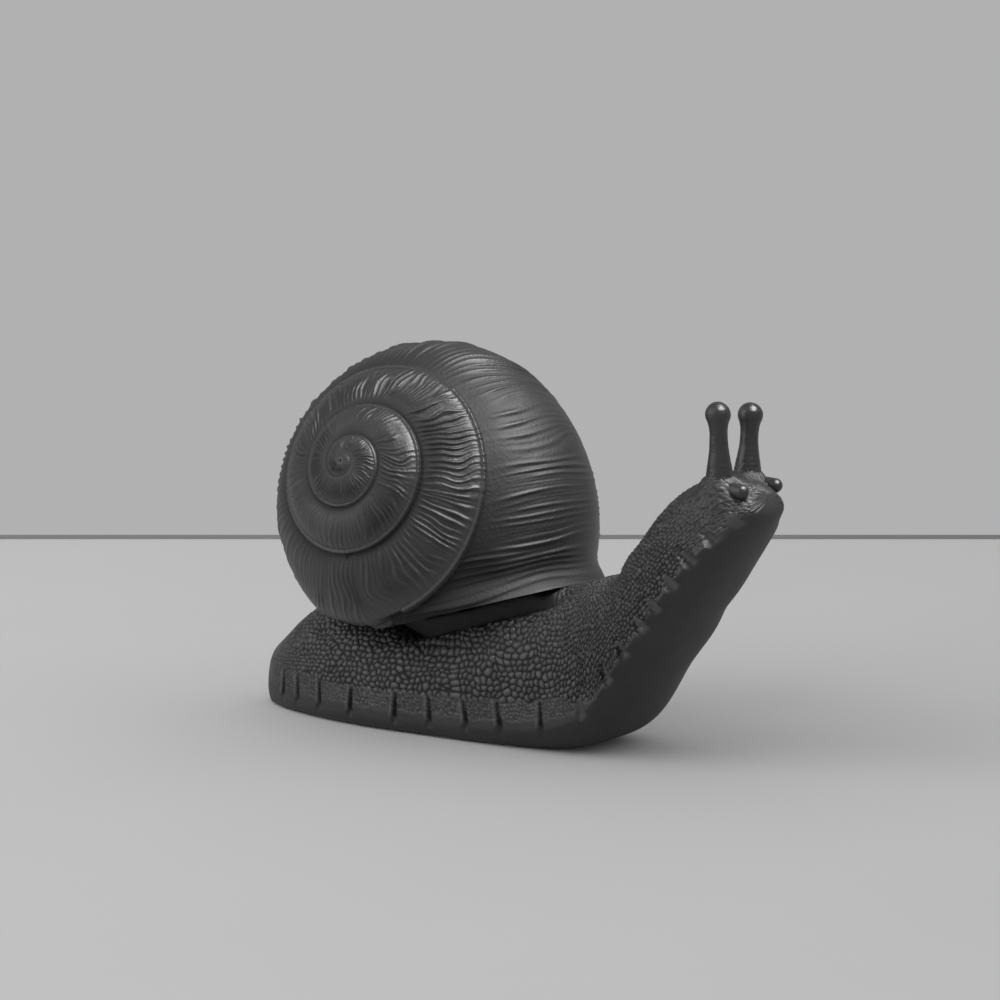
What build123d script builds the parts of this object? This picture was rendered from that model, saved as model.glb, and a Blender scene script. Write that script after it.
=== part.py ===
# Cast snail ornament: a foot-and-body casting that rears up to the head, and a coiled shell casting
# screwed to its back from below. Eyestalks on steel cores and short feelers are set into the head,
# and a felt sheet is let into the flat sole and covers the screws. Millimetres, X forward to the
# head, Y to the snail's left, Z up. The origin is on the floor, under the middle of the foot.
from build123d import *
from math import atan2, cos, degrees, exp, pi, radians, sin, sqrt
import os

# Foot and neck
foot_rear = 69.5
foot_widest_at = 10.0
foot_half_width = 26.8
bend_start = 62.0
bend_radius = 36.0
neck_tilt = 55.0
neck_length = 83.0
neck_half_width = 24.0
neck_depth = 33.0
ridge_height = 38.5
tail_end_height = 16.5
tail_slope_length = 29.0
sole_edge_lift = 4.5
neck_edge_lift = 7.0
sole_flattening = 0.6

# Shape of one body section, as shares of its half width and of its height over the sole's edge
flank_width_shares = (1.0, 0.975, 0.80, 0.44)
flank_height_shares = (0.0, 0.30, 0.70, 0.94)
sole_width_shares = (0.97, 0.90, 0.74, 0.38)
ground_sole_power = 30.0
bend_sole_power = 6.0
neck_sole_power = 2.3
neck_sole_start_share = 0.33

# Stations of the body: degrees round the rounded tail, then shares of the sole's own stretches
tail_station_angles = (82.0, 68.0, 52.0, 34.0, 14.0)
foot_station_shares = (0.20, 0.50, 0.80)
neck_station_shares = (0.0, 0.12, 0.235, 0.34, 0.45, 0.56, 0.68, 0.79, 0.87, 0.93, 0.968, 0.988, 1.0)
neck_lean_shares = (0.10, 0.19, 0.32, 0.47, 0.65, 0.80, 0.91, 0.95, 0.88, 0.72, 0.52, 0.34, 0.20)
neck_depth_shares = (1.57, 1.60, 1.48, 1.28, 1.05, 0.97, 0.95, 0.94, 0.86, 0.68, 0.45, 0.29, 0.17)
neck_width_shares = (1.0, 1.0, 1.0, 1.0, 1.0, 1.0, 0.98, 0.91, 0.80, 0.66, 0.52, 0.38, 0.22)
neck_lift_shares = (1.05, 1.20, 1.22, 1.18, 1.10, 1.05, 1.0, 0.92, 0.76, 0.58, 0.42, 0.30, 0.18)
head_cut_share = 0.7

# Felt sheet let into the sole
felt_proud = 0.5
felt_thickness = 1.2
felt_clearance = 0.2
felt_margin = 5.0
felt_front_x = 60.0
felt_front_radius = 12.0

# Notches in the edge of the skirt: places along its whole length, then the size of each cut
notch_place_shares = (0.081, 0.117, 0.165, 0.225, 0.302, 0.359, 0.419, 0.474, 0.544, 0.620,
                      0.690, 0.739, 0.790, 0.826, 0.868, 0.908, 0.944, 0.971)
notch_height = 9.5
notch_radius_on_foot = 1.5
notch_radius_on_neck = 2.9
notch_overrun = 1.0
notch_widening_shares = (0.55, 0.15)

# Shell: the coiling axis starts at the apex, points out of the spire, and the seam between the
# whorls winds round it with a radius that grows by turns
apex_x = 1.8
apex_y = -49.0
apex_z = 94.4
axis_yaw = 3.0
axis_rise = 20.2
seam_phase = 4.3
seam_reference_turn = 2.0
seam_radius = 24.5
seam_growth_shares = (0.598, -0.107, 0.052)
seam_drop_share = 0.237
seam_steepening_radius = 149.5
first_turn = 0.5
spire_turns = 3.2
last_turn = 4.2
section_step_share = 0.0625
sections_per_loft = 5
oval_steps = 6
spire_bulge_shares = (1.15, 1.8)
spire_bury_angle = 16.0
whorl_radius = 56.5
whorl_flattening_share = 0.81
whorl_growth_share = 0.235
whorl_reference_turn = 3.75
whorl_lean_angles = (45.1, -16.7, 30.5)
whorl_turning_angle = -30.0
lip_flare_share = 0.08
lip_flare_start_turn = 3.88
lip_flare_turns = 0.2
shell_width = 99.0
umbilicus_radius = 7.0
umbilicus_depth = 4.0
column_bore = 1.0
column_radius = 1.6
nucleus_radius = 3.6

# Seat of the shell on the back: level under the spire, rising to the front under the lip
seat_height = 36.5
seat_break_x = 6.0
seat_rise = 16.5
seat_pad_front = 78.0
seat_cut = 1.5
cutter_size = 260.0

# Gap between the shell's lip and the shoulders of the body, on both sides of the seat's ridge
gap_height = 6.5
gap_rear_x = -14.0
gap_middle_x = 60.0
gap_front_x = 90.0
seat_ridge_half_width = 9.0

# Shell screws, driven up from the sole
screw_x_places = (-16.0, 20.0)
screw_shank_radius = 2.0
screw_bore_clearance = 0.25
screw_grip_in_shell = 14.0
screw_head_radius = 3.8
screw_head_height = 2.6
screw_head_chamfer = 0.8
screw_tip_chamfer = 0.7
screw_recess = 10.0
screw_recess_clearance = 1.2
screw_drive_radius = 1.5
screw_drive_depth = 1.4
screw_drive_sides = 6
washer_radius = 4.4
washer_thickness = 0.8
screw_end_gap = 0.5

# Eyestalks
stalk_behind_chin = 16.1
stalk_over_chin = 9.1
stalk_y = 7.8
stalk_splay_angle = 4.0
stalk_foot_radius = 4.6
stalk_waist_radius = 2.95
stalk_waist_height = 13.0
stalk_flare_share = 0.36
stalk_bulb_join_angle = 25.0
stalk_flare_height_share = 0.36
stalk_bulb_radius = 4.1
stalk_height = 25.8
left_stalk_shortfall = 1.8
stalk_peg_radius = 2.0
stalk_peg_length = 3.0
stalk_socket_clearance = 0.3
core_radius = 0.9
core_clearance = 0.15
core_in_stalk = 13.0
core_in_head = 12.0

# Feelers
feeler_behind_chin = 11.1
feeler_over_chin = 7.4
feeler_y = 9.2
feeler_radius = 2.4
feeler_length = 6.8
feeler_splay_angle = 6.0
feeler_droop_angle = 4.0
feeler_peg_radius = 1.3
feeler_peg_length = 2.4
feeler_socket_clearance = 0.3

STEP_FOLDER = "parts"


def sole_path(distance):
    """Point on the middle of the sole and its tilt, at a distance forward of the origin."""
    bend_length = bend_radius * radians(neck_tilt)
    floor = felt_proud - sole_flattening
    if distance <= bend_start:
        return distance, floor, 0.0
    turned = min(distance - bend_start, bend_length) / bend_radius
    past = max(distance - bend_start - bend_length, 0.0)
    x = bend_start + bend_radius * sin(turned) + past * cos(turned)
    z = floor + bend_radius * (1.0 - cos(turned)) + past * sin(turned)
    return x, z, degrees(turned)


def body_section(x, z, tilt, half_width, depth, lift, power):
    """Closed cross-section: a sole that curls up to its edge, and flanks that close over the back."""
    slope = radians(tilt)
    plane = Plane(origin=(x, 0, z), x_dir=(0, 1, 0), z_dir=(cos(slope), 0, sin(slope)))
    sole = [(share * half_width, lift * share ** power) for share in sole_width_shares]
    flank = [
        (width * half_width, lift + (depth - lift) * height)
        for width, height in zip(flank_width_shares, flank_height_shares)
    ]
    mirrored_sole = [(-across, up) for across, up in sole]
    mirrored_flank = [(-across, up) for across, up in flank]
    under = mirrored_flank[:1] + mirrored_sole + [(0, 0)] + sole[::-1] + flank[:1]
    over = flank + [(0, depth)] + mirrored_flank[::-1]
    outline = Wire([Edge.make_spline([Vector(*point) for point in under]),
                    Edge.make_spline([Vector(*point) for point in over])])
    return Face(plane.from_local_coords(outline))


def tail_sections():
    """Sections round the blunt tail, whose plan is half an ellipse."""
    tail_length = foot_rear - foot_widest_at
    sections = []
    for angle in tail_station_angles:
        x = -foot_widest_at - tail_length * sin(radians(angle))
        along_slope = min((x + foot_rear) / tail_slope_length, 1.0)
        depth = tail_end_height + (ridge_height - tail_end_height) * along_slope
        half_width = foot_half_width * cos(radians(angle))
        level = felt_proud - sole_flattening
        sections.append(body_section(x, level, 0.0, half_width, depth, sole_edge_lift, ground_sole_power))
    return sections


def blend(start, end, share):
    return start + (end - start) * share


def foot_sections():
    """Sections along the flat foot under the shell."""
    sections = []
    for share in foot_station_shares:
        x, z, _ = sole_path(bend_start * share)
        lift = blend(sole_edge_lift, neck_edge_lift, share ** 2)
        width = blend(foot_half_width, neck_half_width, share)
        depth = max(ridge_height, seat_level(x) + seat_cut - z)
        power = blend(ground_sole_power, bend_sole_power, share)
        sections.append(body_section(x, z, 0.0, width, depth, lift, power))
    return sections


def neck_sole_length():
    """Length of the sole from the start of the bend to the chin."""
    return bend_radius * radians(neck_tilt) + neck_length


def chin_point():
    """Foremost point of the sole, which the eyestalks and feelers are placed from."""
    x, z, _ = sole_path(bend_start + neck_sole_length())
    return Vector(x, 0, z)


def neck_sections():
    """Sections from the bend of the foot up to the chin, which lean back less than the sole rises."""
    sections = []
    whole = neck_sole_length()
    rows = zip(neck_station_shares, neck_lean_shares, neck_depth_shares, neck_width_shares,
               neck_lift_shares)
    for station, lean, depth, width, lift in rows:
        x, z, _ = sole_path(bend_start + whole * station)
        power = blend(bend_sole_power, neck_sole_power, min(station / neck_sole_start_share, 1.0))
        sections.append(body_section(x, z, neck_tilt * lean, neck_half_width * width, neck_depth * depth,
                                     neck_edge_lift * lift, power))
    return sections


def seat_level(x):
    """Height of the shell's underside over a place on the centre line."""
    rise = max(x - seat_break_x, 0.0) * sin(radians(seat_rise)) / cos(radians(seat_rise))
    return seat_height + rise


def head_cut():
    """Plane square to the neck, where the head is parted off to have its sockets cut."""
    x, z, _ = sole_path(bend_start + neck_sole_length() * head_cut_share)
    return Plane(origin=(x, 0, z), z_dir=(cos(radians(neck_tilt)), 0, sin(radians(neck_tilt))))


def make_body():
    """The foot, neck and head as one casting, with its seats, sockets and screw bores."""
    sections = tail_sections() + foot_sections() + neck_sections()
    casting = loft(sections)
    head = split(casting, head_cut(), keep=Keep.TOP)
    for side in (-1, 1):
        head -= stalk_frame(side) * stalk_socket()
        head -= feeler_frame(side) * feeler_socket()
    body = head + split(casting, head_cut(), keep=Keep.BOTTOM)
    body -= box_below(felt_proud)
    body -= felt_outline(-felt_clearance, felt_proud, felt_thickness - felt_proud)
    body -= make_screw_bores()
    body -= seat_cutter()
    body -= gap_cutters()
    body -= make_notches()
    return body


def box_below(level):
    """Everything below a level."""
    box = Box(cutter_size, cutter_size, cutter_size, align=(Align.CENTER, Align.CENTER, Align.MAX))
    return Pos(0, 0, level) * box


def seat_cutter():
    """Everything over the seat of the shell, back to where the neck's own back takes over."""
    rear = -cutter_size / 2
    outline = Polyline(
        (rear, seat_height),
        (seat_break_x, seat_height),
        (seat_pad_front, seat_level(seat_pad_front)),
        (seat_pad_front, cutter_size / 2),
        (rear, cutter_size / 2),
        close=True,
    )
    return extrude(Plane.XZ * make_face(outline), cutter_size / 2, both=True)


def gap_cutters():
    """The open gap under the shell's lip, on each side of the ridge that carries the shell."""
    outline = Polyline(
        (gap_rear_x, seat_height + seat_cut),
        (gap_rear_x, seat_height),
        (seat_break_x, seat_height - gap_height),
        (gap_middle_x, seat_level(gap_middle_x) - gap_height),
        (gap_front_x, seat_level(gap_front_x)),
        (seat_break_x, seat_height + seat_cut),
        close=True,
    )
    right = extrude(Plane.XZ.offset(seat_ridge_half_width) * make_face(outline), cutter_size / 2)
    return [right, mirror(right, Plane.XZ)]


def table_value(shares, places, place):
    """Value of a table of shares between its places."""
    for number in range(len(places) - 1):
        if place <= places[number + 1]:
            along = (place - places[number]) / (places[number + 1] - places[number])
            return blend(shares[number], shares[number + 1], along)
    return shares[-1]


def skirt_edge(share):
    """Point of the skirt's left edge at a share of its length, and the direction up the flank there."""
    distance = blend(-foot_rear, bend_start + neck_sole_length(), share)
    x, z, tilt = sole_path(distance)
    half_width = foot_half_width
    lift = sole_edge_lift
    lean = 0.0
    if distance < -foot_widest_at:
        half_width *= sqrt(1 - ((distance + foot_widest_at) / (foot_rear - foot_widest_at)) ** 2)
    elif 0 < distance <= bend_start:
        half_width = blend(foot_half_width, neck_half_width, distance / bend_start)
        lift = blend(sole_edge_lift, neck_edge_lift, (distance / bend_start) ** 2)
    elif distance > bend_start:
        station = (distance - bend_start) / neck_sole_length()
        half_width = neck_half_width * table_value(neck_width_shares, neck_station_shares, station)
        lift = neck_edge_lift * table_value(neck_lift_shares, neck_station_shares, station)
        lean = neck_tilt * table_value(neck_lean_shares, neck_station_shares, station)
    up = Vector(-sin(radians(lean)), 0, cos(radians(lean)))
    return Vector(x, half_width, z) + up * lift, up


def make_notches():
    """Cuts in the skirt that widen from a point on the flank down to the edge of the sole."""
    cuts = []
    for share in notch_place_shares:
        edge, up = skirt_edge(share)
        length = notch_height + notch_overrun
        on_neck = min(max(share - notch_widening_shares[0], 0) / notch_widening_shares[1], 1)
        radius = blend(notch_radius_on_foot, notch_radius_on_neck, on_neck)
        cone = Cone(radius, 0, length, align=(Align.CENTER, Align.CENTER, Align.MIN))
        cut = Plane(origin=edge - up * notch_overrun, x_dir=(0, 1, 0), z_dir=up) * cone
        cuts += [cut, mirror(cut, Plane.XZ)]
    return cuts


def shell_frame():
    """Frame at the apex, with Z out of the spire and X level, on the side where turns are counted."""
    yaw = radians(axis_yaw)
    rise = radians(axis_rise)
    axis = Vector(cos(rise) * sin(yaw), -cos(rise) * cos(yaw), sin(rise))
    level = Vector(0, 0, 1).cross(axis).normalized()
    phase = radians(seam_phase)
    start = level * cos(phase) + axis.cross(level) * sin(phase)
    return Plane(origin=(apex_x, apex_y, apex_z), x_dir=start, z_dir=axis)


def seam_point(turn):
    """Radius from the axis and depth behind the apex of the seam outside a turn."""
    late = turn - seam_reference_turn
    growth = sum(share * late ** power for power, share in enumerate(seam_growth_shares, 1))
    radius = seam_radius * exp(growth)
    return radius, seam_drop_share * radius + radius ** 2 / seam_steepening_radius


def oval_points(centre, across, along, start, end):
    """Points of a whorl's round profile, as distance from the axis and height over the apex."""
    angles = [radians(blend(start, end, number / oval_steps)) for number in range(oval_steps + 1)]
    return [Vector(centre[0] + across * cos(angle), centre[1] + along * sin(angle)) for angle in angles]


def spire_profile(turn):
    """Bulge between two seams, carried on under the next whorl, and the way down to the column."""
    inner_radius, inner_depth = seam_point(turn - 1)
    outer_radius, outer_depth = seam_point(turn)
    chord = sqrt((outer_radius - inner_radius) ** 2 + (outer_depth - inner_depth) ** 2)
    late = min(max(turn - spire_turns + 1, 0.0), 1.0)
    radius = chord * blend(spire_bulge_shares[0], spire_bulge_shares[1], late)
    sag = sqrt(radius ** 2 - (chord / 2) ** 2)
    run = (outer_radius - inner_radius) / chord
    fall = (outer_depth - inner_depth) / chord
    centre = ((inner_radius + outer_radius) / 2 - sag * fall, -(inner_depth + outer_depth) / 2 - sag * run)
    start = degrees(atan2(-inner_depth - centre[1], inner_radius - centre[0]))
    end = degrees(atan2(-outer_depth - centre[1], outer_radius - centre[0])) - spire_bury_angle
    bulge = oval_points(centre, radius, radius, start, end)
    bottom = Vector(column_bore, bulge[-1].Y)
    return [Edge.make_spline(bulge), Edge.make_line(bulge[-1], bottom)]


def whorl_profile(turn):
    """Oval side of the last whorl, which swells towards the lip, and its far side to the umbilicus."""
    inner_radius, inner_depth = seam_point(turn - 1)
    late = turn - whorl_reference_turn
    to_lip = min(max(turn - lip_flare_start_turn, 0.0) / lip_flare_turns, 1.0)
    flare = lip_flare_share * (1 - cos(pi * to_lip)) / 2
    across = whorl_radius * exp(whorl_growth_share * late) * (1 + flare)
    along = across * whorl_flattening_share
    start = sum(angle * late ** power for power, angle in enumerate(whorl_lean_angles))
    centre = (inner_radius - across * cos(radians(start)), -inner_depth - along * sin(radians(start)))
    side = oval_points(centre, across, along, start, whorl_turning_angle)
    turning = radians(whorl_turning_angle)
    leaving = Vector(across * sin(turning), -along * cos(turning)).normalized()
    far = Vector(umbilicus_radius, -shell_width)
    bottom = Vector(column_bore, umbilicus_depth - shell_width)
    return [Edge.make_spline(side), Edge.make_spline([side[-1], far], tangents=[leaving, Vector(-1, 0)]),
            Edge.make_line(far, bottom)]


def whorl_section(turn, profile):
    """Closed section of a whorl in the half plane that turns about the axis."""
    edges = profile(turn)
    first = edges[0] @ 0
    last = edges[-1] @ 1
    top = Vector(column_bore, first.Y)
    outline = Wire([Edge.make_line(top, first)] + edges + [Edge.make_line(last, top)])
    frame = shell_frame()
    angle = -2 * pi * turn
    outward = frame.x_dir * cos(angle) + frame.y_dir * sin(angle)
    plane = Plane(origin=frame.origin, x_dir=outward, z_dir=outward.cross(frame.z_dir))
    return Face(plane.from_local_coords(outline))


def whorl_lofts(start, end, profile):
    """Stretches of whorl, each a smooth loft of sections that turn about the axis."""
    stretch = section_step_share * (sections_per_loft - 1)
    count = round((end - start) / stretch)
    stretches = []
    for number in range(count):
        turns = [start + (end - start) * (number + part / (sections_per_loft - 1)) / count
                 for part in range(sections_per_loft)]
        stretches.append(loft([whorl_section(turn, profile) for turn in turns]))
    return stretches


def make_shell():
    """The coiled shell: spire whorls, the last whorl and the column, cut level for its seat."""
    whorls = whorl_lofts(first_turn, spire_turns, spire_profile)
    whorls += whorl_lofts(spire_turns, last_turn, whorl_profile)
    frame = shell_frame()
    column_length = shell_width - umbilicus_depth
    column = frame * Cylinder(column_radius, column_length, align=(Align.CENTER, Align.CENTER, Align.MAX))
    nucleus = frame * Pos(0, 0, -nucleus_radius) * Sphere(nucleus_radius)
    shell = nucleus.fuse(column, *whorls)
    shell -= seat_filler()
    shell -= make_shell_holes()
    return shell


def seat_filler():
    """Everything under the seat of the shell."""
    rear = -cutter_size / 2
    front = cutter_size / 2
    outline = Polyline(
        (rear, seat_height),
        (seat_break_x, seat_height),
        (front, seat_level(front)),
        (front, -cutter_size / 2),
        (rear, -cutter_size / 2),
        close=True,
    )
    return extrude(Plane.XZ * make_face(outline), cutter_size / 2, both=True)


def upright(x, y, bottom, radius, height):
    """A standing cylinder from its bottom up."""
    return Pos(x, y, bottom) * Cylinder(radius, height, align=(Align.CENTER, Align.CENTER, Align.MIN))


def screw_seat_z():
    """Level at which the washers bear on the body."""
    return felt_proud + screw_recess


def screw_tip_z(x):
    return seat_level(x) + screw_grip_in_shell


def make_screw_bores():
    """Bores for the shell screws with recesses for their heads, open to the sole."""
    bores = []
    for x in screw_x_places:
        bores.append(upright(x, 0, 0, washer_radius + screw_recess_clearance, screw_seat_z()))
        bores.append(upright(x, 0, 0, screw_shank_radius + screw_bore_clearance, screw_tip_z(x)))
    return bores


def make_shell_holes():
    """Blind holes in the shell for the ends of its screws."""
    return [
        upright(x, 0, 0, screw_shank_radius + screw_bore_clearance, screw_tip_z(x) + screw_end_gap)
        for x in screw_x_places
    ]


def make_screws():
    """Pan head screws that hold the shell down."""
    screws = []
    for x in screw_x_places:
        under_head = screw_seat_z() - washer_thickness
        head = upright(x, 0, under_head - screw_head_height, screw_head_radius, screw_head_height)
        rim = head.edges().group_by(Axis.Z)[0]
        head = chamfer(rim, screw_head_chamfer)
        drive = RegularPolygon(screw_drive_radius, screw_drive_sides)
        head -= Pos(x, 0, under_head - screw_head_height) * extrude(drive, screw_drive_depth)
        shank = upright(x, 0, under_head, screw_shank_radius, screw_tip_z(x) - under_head)
        tip = shank.edges().group_by(Axis.Z)[-1]
        shank = chamfer(tip, screw_tip_chamfer)
        screws.append(head + shank)
    return screws


def make_washers():
    """Plain washers between the screw heads and the body."""
    washers = []
    for x in screw_x_places:
        bottom = screw_seat_z() - washer_thickness
        disc = upright(x, 0, bottom, washer_radius, washer_thickness)
        hole = upright(x, 0, bottom, screw_shank_radius + screw_bore_clearance, washer_thickness)
        washers.append(disc - hole)
    return washers


def felt_outline(inset, bottom, thickness):
    """Sheet with the outline of the felt, half an ellipse behind and a round front, inset all round."""
    length = foot_rear - foot_widest_at - felt_margin - inset
    half_width = foot_half_width - felt_margin - inset
    radius = felt_front_radius - inset
    centre_x = felt_front_x - felt_front_radius
    rear = EllipticalCenterArc((-foot_widest_at, 0), length, half_width, start_angle=90, arc_size=180)
    front = ThreePointArc((centre_x, -radius), (centre_x + radius, 0), (centre_x, radius))
    outline = rear + front + Line((-foot_widest_at, -half_width), (centre_x, -radius))
    outline += Line((centre_x, radius), (-foot_widest_at, half_width))
    return Pos(0, 0, bottom) * extrude(make_face(outline), thickness)


def stalk_frame(side):
    """Seat of an eyestalk on the head; the stalks splay outwards."""
    chin = chin_point()
    seat = Pos(chin.X - stalk_behind_chin, side * stalk_y, chin.Z + stalk_over_chin)
    return seat * Rot(-side * stalk_splay_angle, 0, 0)


def make_stalk(side):
    """One eyestalk: a flared foot, a waisted stem, a round tip and a peg with a bore for its core."""
    height = stalk_height - left_stalk_shortfall * (side > 0)
    bulb_centre = height - stalk_bulb_radius
    joined = radians(stalk_bulb_join_angle)
    neck_point = (stalk_bulb_radius * cos(joined), bulb_centre - stalk_bulb_radius * sin(joined))
    flare_radius = blend(stalk_waist_radius, stalk_foot_radius, stalk_flare_share)
    stem = Spline(
        (stalk_foot_radius, 0),
        (flare_radius, stalk_waist_height * stalk_flare_height_share),
        (stalk_waist_radius, stalk_waist_height),
        neck_point,
        tangents=[(-1, 1), (sin(joined), cos(joined))],
    )
    tip = ThreePointArc(neck_point, (stalk_bulb_radius, bulb_centre), (0, height))
    outline = stem + tip + Polyline((0, height), (0, -stalk_peg_length),
                                    (stalk_peg_radius, -stalk_peg_length), (stalk_peg_radius, 0),
                                    (stalk_foot_radius, 0))
    stalk = revolve(Plane.XZ * make_face(outline), Axis.Z)
    stalk -= core_bore()
    return stalk_frame(side) * stalk


def core_bore():
    """Blind bore up through the peg for the steel core."""
    bore_radius = core_radius + core_clearance
    return upright(0, 0, -stalk_peg_length, bore_radius, stalk_peg_length + core_in_stalk + core_clearance)


def stalk_socket():
    """What the head loses for an eyestalk: a flat seat, a socket for the peg and the core's bore."""
    seat = upright(0, 0, 0, stalk_foot_radius + stalk_socket_clearance, stalk_height)
    socket_depth = stalk_peg_length + stalk_socket_clearance
    socket = upright(0, 0, -socket_depth, stalk_peg_radius + stalk_socket_clearance, socket_depth)
    bore_depth = core_in_head + core_clearance
    bore = upright(0, 0, -bore_depth, core_radius + core_clearance, bore_depth)
    return seat + socket + bore


def make_cores():
    """Steel cores of the eyestalks."""
    return [
        stalk_frame(side) * upright(0, 0, -core_in_head, core_radius, core_in_head + core_in_stalk)
        for side in (-1, 1)
    ]


def feeler_frame(side):
    """Root of a feeler on the face, with Z pointing out along it."""
    chin = chin_point()
    root = Pos(chin.X - feeler_behind_chin, side * feeler_y, chin.Z + feeler_over_chin)
    return root * Rot(0, 0, side * feeler_splay_angle) * Rot(0, 90 + feeler_droop_angle, 0)


def make_feeler(side):
    """One short feeler: a round ended stub with a peg."""
    straight = feeler_length - feeler_radius
    outline = Polyline((0, -feeler_peg_length), (feeler_peg_radius, -feeler_peg_length),
                       (feeler_peg_radius, 0), (feeler_radius, 0), (feeler_radius, straight))
    outline += ThreePointArc((feeler_radius, straight),
                             (feeler_radius * sin(pi / 4), straight + feeler_radius * cos(pi / 4)),
                             (0, feeler_length))
    outline += Line((0, feeler_length), (0, -feeler_peg_length))
    return feeler_frame(side) * revolve(Plane.XZ * make_face(outline), Axis.Z)


def feeler_socket():
    """What the head loses for a feeler: a flat seat and a socket for the peg."""
    seat_radius = feeler_radius + feeler_socket_clearance
    seat = upright(0, 0, 0, seat_radius, feeler_length + feeler_socket_clearance)
    depth = feeler_peg_length + feeler_socket_clearance
    return seat + upright(0, 0, -depth, feeler_peg_radius + feeler_socket_clearance, depth)


def save(name, shape):
    """Write one node; a list of loose solids becomes a group."""
    if isinstance(shape, list):
        shape = Compound(children=[piece.solid() for piece in shape])
    export_step(shape, os.path.join(STEP_FOLDER, name + ".step"))


def main():
    os.makedirs(STEP_FOLDER, exist_ok=True)
    save("body_casting", make_body())
    save("shell_casting", make_shell())
    save("shell_screws", make_screws())
    save("shell_screw_washers", make_washers())
    for name, side in (("right", -1), ("left", 1)):
        save(name + "_eyestalk", make_stalk(side))
        save(name + "_feeler", make_feeler(side))
    save("eyestalk_cores", make_cores())
    save("felt_sheet", felt_outline(0, 0, felt_thickness))


main()
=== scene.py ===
from math import cos, exp, pi, radians, sin, sqrt, tan

import bmesh
import bpy
import numpy as np
from mathutils import Matrix, Vector
from mathutils.bvhtree import BVHTree


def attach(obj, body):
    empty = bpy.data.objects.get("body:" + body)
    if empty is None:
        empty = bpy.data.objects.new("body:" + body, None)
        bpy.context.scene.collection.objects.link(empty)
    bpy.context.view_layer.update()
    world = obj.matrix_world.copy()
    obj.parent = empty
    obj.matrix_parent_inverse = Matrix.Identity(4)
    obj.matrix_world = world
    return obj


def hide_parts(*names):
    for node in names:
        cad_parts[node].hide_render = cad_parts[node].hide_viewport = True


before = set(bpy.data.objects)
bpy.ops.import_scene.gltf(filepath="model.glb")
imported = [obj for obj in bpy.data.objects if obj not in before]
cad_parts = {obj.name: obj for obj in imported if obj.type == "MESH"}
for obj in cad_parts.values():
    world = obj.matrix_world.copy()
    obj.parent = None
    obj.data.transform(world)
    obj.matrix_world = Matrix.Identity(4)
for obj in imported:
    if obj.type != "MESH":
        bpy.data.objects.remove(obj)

# Lengths in this script are millimetres; the scene itself is in metres
MM = 0.001

# Camera
camera_azimuth = 37.5
camera_elevation = 8.0
camera_distance = 1100.0
camera_target = (30.0, 0.0, 78.0)
focal_pixels = 3300.0
image_pixels = 1000.0
sensor_width = 36.0
nearest_seen = 50.0
farthest_seen = 20000.0

# Studio: a floor that ends behind the snail, with the world as the wall behind it
wall_distance = 425.0
floor_level = -0.03
wall_joint_height = 2.0
stage_size = 6000.0
floor_grey = 0.655
backdrop_grey = 0.44
joint_grey = 0.30
stage_roughness = 0.75
stage_cloud_scale = 6.0
stage_cloud_range = 0.03
world_grey = 0.62
light_distance = 1500.0
key_direction = (0.43, 0.37, 0.82)
key_size = 1050.0
key_power = 68.0
fill_direction = (-0.92, 0.34, 0.42)
fill_size = 1500.0
fill_power = 10.0

# Shell, in the same terms as its solid: the seam winds out from the apex round the coiling axis
apex = np.array((1.8, -49.0, 94.4))
axis_yaw = 3.0
axis_rise = 20.2
seam_phase = 4.3
seam_reference_turn = 2.0
seam_radius = 24.5
seam_growth_shares = (0.598, -0.107, 0.052)
seam_drop_share = 0.237
seam_steepening_radius = 149.5
spire_bulge_shares = (1.15, 1.8)
spire_turns = 3.2
whorl_radius = 56.5
whorl_flattening_share = 0.81
whorl_growth_share = 0.235
whorl_reference_turn = 3.75
whorl_lean_angles = (45.1, -16.7, 30.5)
whorl_turning_angle = -30.0
lip_flare_share = 0.08
lip_flare_start_turn = 3.88
lip_flare_turns = 0.2
shell_width = 99.0
umbilicus_radius = 7.0
umbilicus_profile = ((4.6, 0.7), (2.6, 3.4), (0.6, 4.0))
seat_height = 36.5
seat_break_x = 6.0
seat_rise = 16.5
gap_height = 6.5
seat_ridge_half_width = 9.0

# Stretches of the shell's surface, in turns, and how finely they are drawn
first_turn = -0.75
spire_end_turn = 2.25
join_turn = 3.2
join_overlap = 0.012
join_blend_turns = 0.1
join_blend_run = 8.0
led_over_turn = 3.7
column_spacing = 1.15
rear_end_turn = 3.72
last_turn = 4.26
spire_steps = (1150, 40)
second_whorl_steps = (800, 74)
rear_steps = (500, 200)
front_steps = (520, 200)
oval_steps = 80
back_steps = 60
arc_steps = 60
lip_end_rows = 12
underside_columns = 360
underside_rings = 40
underside_middle_x = 4.0
underside_reach = 75.0
underside_lift = 0.15
underside_ripple = 0.06
shell_middle_depth = 45.0

# Relief of the shell
lines_per_turn = 40.0
lines_growth = 9.0
line_wander = (1.1, 0.42)
line_mix = (0.22, 0.95, 0.2, 0.08)
line_level = 1.3
crest_sharpness = 1.7
lip_line_spacing = 2.3
lip_line_turn = 3.97
lip_line_height = 33.0
lip_turns = (3.84, 4.04)
early_turns = (0.8, 1.8)
ahead_turns = (3.4, 3.8)
line_start_shares = (0.05, 0.26)
lip_fade_shares = (0.45, 0.75)
lip_line_heights = (8.0, 20.0)
lip_line_strength = 1.1
line_run = 75.0
line_depth_share = 0.027
line_depth_gain = 0.02
line_depth_most = 0.95
least_line_strength = 0.07
far_side_fade = 0.8
smooth_place = 0.32
smooth_place_width = 0.12
bulge_shares = (0.036, 0.014)
suture_depth_share = 0.042
suture_depth_most = 1.8
suture_width_share = 0.30
seam_wall_places = (0.35, 0.7, 1.0)
# painted shade: a darker tone on the short wall along each seam
seam_wall_painted_shade = -0.7
rim_height_share = 0.006
end_drop = 4.0
end_turns = (0.05, 0.055)
lip_round = 1.7
lip_flare = 5.4
lip_flare_height = 10.0
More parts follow.
